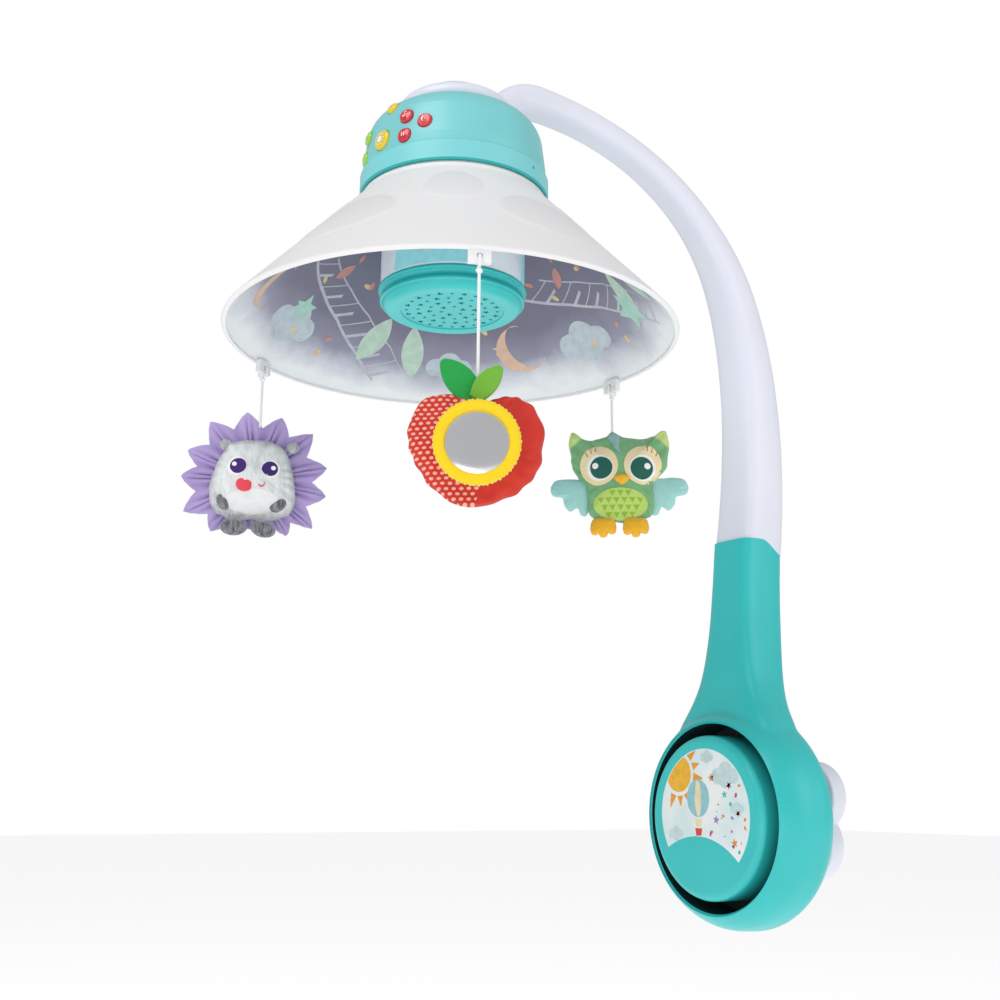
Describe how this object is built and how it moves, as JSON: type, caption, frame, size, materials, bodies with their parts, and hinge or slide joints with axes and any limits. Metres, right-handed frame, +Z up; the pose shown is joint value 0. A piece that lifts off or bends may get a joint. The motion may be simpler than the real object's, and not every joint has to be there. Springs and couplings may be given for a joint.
{
  "type": "crib mobile",
  "caption": "Crib-rail mobile: screw clamp, curved arm, music-box head with projector, turning cone shade and hanging soft toys.",
  "frame": {"origin": "on the clamp bolt's axis, in the face of the fixed jaw's rubber pad that meets the crib rail", "axes": "+X points into the crib along the clamp bolt, +Z up along the arm, +Y along the rail"},
  "size_m": [0.484, 0.3077, 0.5902],
  "materials": {
    "teal_plastic": "smooth, semi-gloss",
    "label_print": "printed paper label under a matt film",
    "screw_steel": "zinc plated",
    "white_plastic": "cool white, semi-gloss",
    "pad_rubber": "soft, matt",
    "pale_teal_plastic": "smooth, semi-gloss",
    "battery_wrap": "wrapped cells",
    "board_green": "solder mask",
    "diffuser_plastic": "translucent, printed",
    "speaker_black": "paper cone and steel cup",
    "gear_nylon": "self-lubricating",
    "shade_plastic": "translucent white, printed inside",
    "cord_white": "braided cord",
    "mane_lilac": "satin",
    "plush_grey": "short plush",
    "paw_grey": "short plush",
    "apple_red": "woven, stuffed",
    "ring_yellow": "felt",
    "mirror_film": "soft mirror film",
    "leaf_green": "felt",
    "owl_green": "short plush",
    "wing_aqua": "felt",
    "foot_orange": "felt",
    "button_yellow": "gloss",
    "button_red": "gloss",
    "button_green": "gloss"
  },
  "bodies": {
    "clamp": {"front_disc": "teal_plastic", "disc_label": "label_print", "disc_screws": "screw_steel", "rear_jaw": "white_plastic", "rail_pad": "pad_rubber", "clamp_bolt": "screw_steel"},
    "pressure_jaw": {"pressure_plate": "white_plastic", "pressure_pad": "pad_rubber"},
    "knob": {"clamp_knob": "white_plastic", "knob_nut": "screw_steel"},
    "arm": {"lower_arm": "teal_plastic", "lower_arm_cover": "teal_plastic", "cover_screws": "screw_steel", "arm_spigot": "white_plastic", "upper_arm": "white_plastic", "hub_nut": "screw_steel", "hub_lid": "white_plastic", "head_dome": "pale_teal_plastic", "head_base": "pale_teal_plastic", "battery_door": "pale_teal_plastic", "battery_cells": "battery_wrap", "battery_contacts": "screw_steel", "chassis": "white_plastic", "circuit_board": "board_green", "key_mat": "pad_rubber", "motor": "screw_steel", "head_screws": "screw_steel", "projector_column": "white_plastic", "diffuser": "diffuser_plastic", "led_board": "board_green", "projector_ring": "teal_plastic", "speaker": "speaker_black", "star_grille": "teal_plastic", "idler_pin": "screw_steel"},
    "motor_shaft": {"motor_pinion": "gear_nylon"},
    "idler": {"idler_gear": "gear_nylon"},
    "rotor": {"shade": "shade_plastic", "shade_gear": "white_plastic", "hook_tabs": "white_plastic"},
    "hedgehog_cord": {"hedgehog_string": "cord_white"},
    "hedgehog": {"hedgehog_mane": "mane_lilac", "hedgehog_body": "plush_grey", "hedgehog_paws": "paw_grey"},
    "apple_cord": {"apple_string": "cord_white"},
    "apple": {"apple_body": "apple_red", "apple_ring": "ring_yellow", "apple_mirror": "mirror_film", "apple_leaves": "leaf_green"},
    "owl_cord": {"owl_string": "cord_white"},
    "owl": {"owl_body": "owl_green", "owl_wings": "wing_aqua", "owl_feet": "foot_orange"},
    "button_yellow_large_key": {"button_yellow_large": "button_yellow"},
    "button_yellow_small_key": {"button_yellow_small": "button_yellow"},
    "button_red_1_key": {"button_red_1": "button_red"},
    "button_red_2_key": {"button_red_2": "button_red"},
    "button_red_3_key": {"button_red_3": "button_red"},
    "button_green_1_key": {"button_green_1": "button_green"},
    "button_green_2_key": {"button_green_2": "button_green"}
  },
  "joints": [
    {"name": "arm_swing", "type": "hinge", "parent": "clamp", "child": "arm", "pos_m": [0, 0, 0], "axis": [1, 0, 0], "range_deg": [-90, 90]},
    {"name": "jaw_travel", "type": "slide", "parent": "clamp", "child": "pressure_jaw", "axis": [-1, 0, 0], "range_m": [0, 0.028]},
    {"name": "knob_turn", "type": "hinge", "parent": "pressure_jaw", "child": "knob", "pos_m": [-0.02, 0, 0], "axis": [-1, 0, 0], "range_deg": [0, 2520]},
    {"name": "shade_spin", "type": "hinge", "parent": "arm", "child": "rotor", "pos_m": [0.28, 0, 0.4], "axis": [0, 0, 1], "continuous": true},
    {"name": "idler_spin", "type": "hinge", "parent": "arm", "child": "idler", "pos_m": [0.23878, 0.0238, 0.408], "axis": [0, 0, 1], "continuous": true},
    {"name": "motor_spin", "type": "hinge", "parent": "arm", "child": "motor_shaft", "pos_m": [0.24896, 0.0366, 0.408], "axis": [0, 0, 1], "continuous": true},
    {"name": "apple_swing", "type": "hinge", "parent": "rotor", "child": "apple_cord", "pos_m": [0.3412, 0.13123, 0.305], "axis": [0.4226, 0.9063, 0], "range_deg": [-25, 25]},
    {"name": "apple_twist", "type": "hinge", "parent": "apple_cord", "child": "apple", "pos_m": [0.3412, 0.13123, 0.22], "axis": [0, 0, 1], "range_deg": [-90, 90]},
    {"name": "owl_swing", "type": "hinge", "parent": "rotor", "child": "owl_cord", "pos_m": [0.13575, -0.01262, 0.305], "axis": [-0.9962, -0.0872, 0], "range_deg": [-25, 25]},
    {"name": "owl_twist", "type": "hinge", "parent": "owl_cord", "child": "owl", "pos_m": [0.13575, -0.01262, 0.265], "axis": [0, 0, 1], "range_deg": [-90, 90]},
    {"name": "hedgehog_swing", "type": "hinge", "parent": "rotor", "child": "hedgehog_cord", "pos_m": [0.36305, -0.11861, 0.305], "axis": [0.5736, -0.8192, 0], "range_deg": [-25, 25]},
    {"name": "hedgehog_twist", "type": "hinge", "parent": "hedgehog_cord", "child": "hedgehog", "pos_m": [0.36305, -0.11861, 0.265], "axis": [0, 0, 1], "range_deg": [-90, 90]},
    {"name": "press_yellow_large", "type": "slide", "parent": "arm", "child": "button_yellow_large_key", "axis": [-0.9863, -0.1562, -0.0523], "range_m": [0, 0.0015], "stiffness_N_per_m": 600},
    {"name": "press_yellow_small", "type": "slide", "parent": "arm", "child": "button_yellow_small_key", "axis": [-0.8403, -0.2095, -0.5], "range_m": [0, 0.0015], "stiffness_N_per_m": 600},
    {"name": "press_red_1", "type": "slide", "parent": "arm", "child": "button_red_1_key", "axis": [-0.8695, -0.4623, -0.1736], "range_m": [0, 0.0015], "stiffness_N_per_m": 600},
    {"name": "press_red_2", "type": "slide", "parent": "arm", "child": "button_red_2_key", "axis": [-0.7562, -0.6459, -0.1045], "range_m": [0, 0.0015], "stiffness_N_per_m": 600},
    {"name": "press_red_3", "type": "slide", "parent": "arm", "child": "button_red_3_key", "axis": [-0.8865, -0.4615, -0.0349], "range_m": [0, 0.0015], "stiffness_N_per_m": 600},
    {"name": "press_green_1", "type": "slide", "parent": "arm", "child": "button_green_1_key", "axis": [-0.9667, 0.1879, -0.1736], "range_m": [0, 0.0015], "stiffness_N_per_m": 600},
    {"name": "press_green_2", "type": "slide", "parent": "arm", "child": "button_green_2_key", "axis": [-0.9697, 0.2418, -0.0349], "range_m": [0, 0.0015], "stiffness_N_per_m": 600}
  ],
  "couplings": [
    {"joint": "knob_turn", "follows": "jaw_travel", "rad_per_m": 1570.8},
    {"joint": "idler_spin", "follows": "shade_spin", "ratio": -3.75},
    {"joint": "motor_spin", "follows": "shade_spin", "ratio": 6}
  ]
}
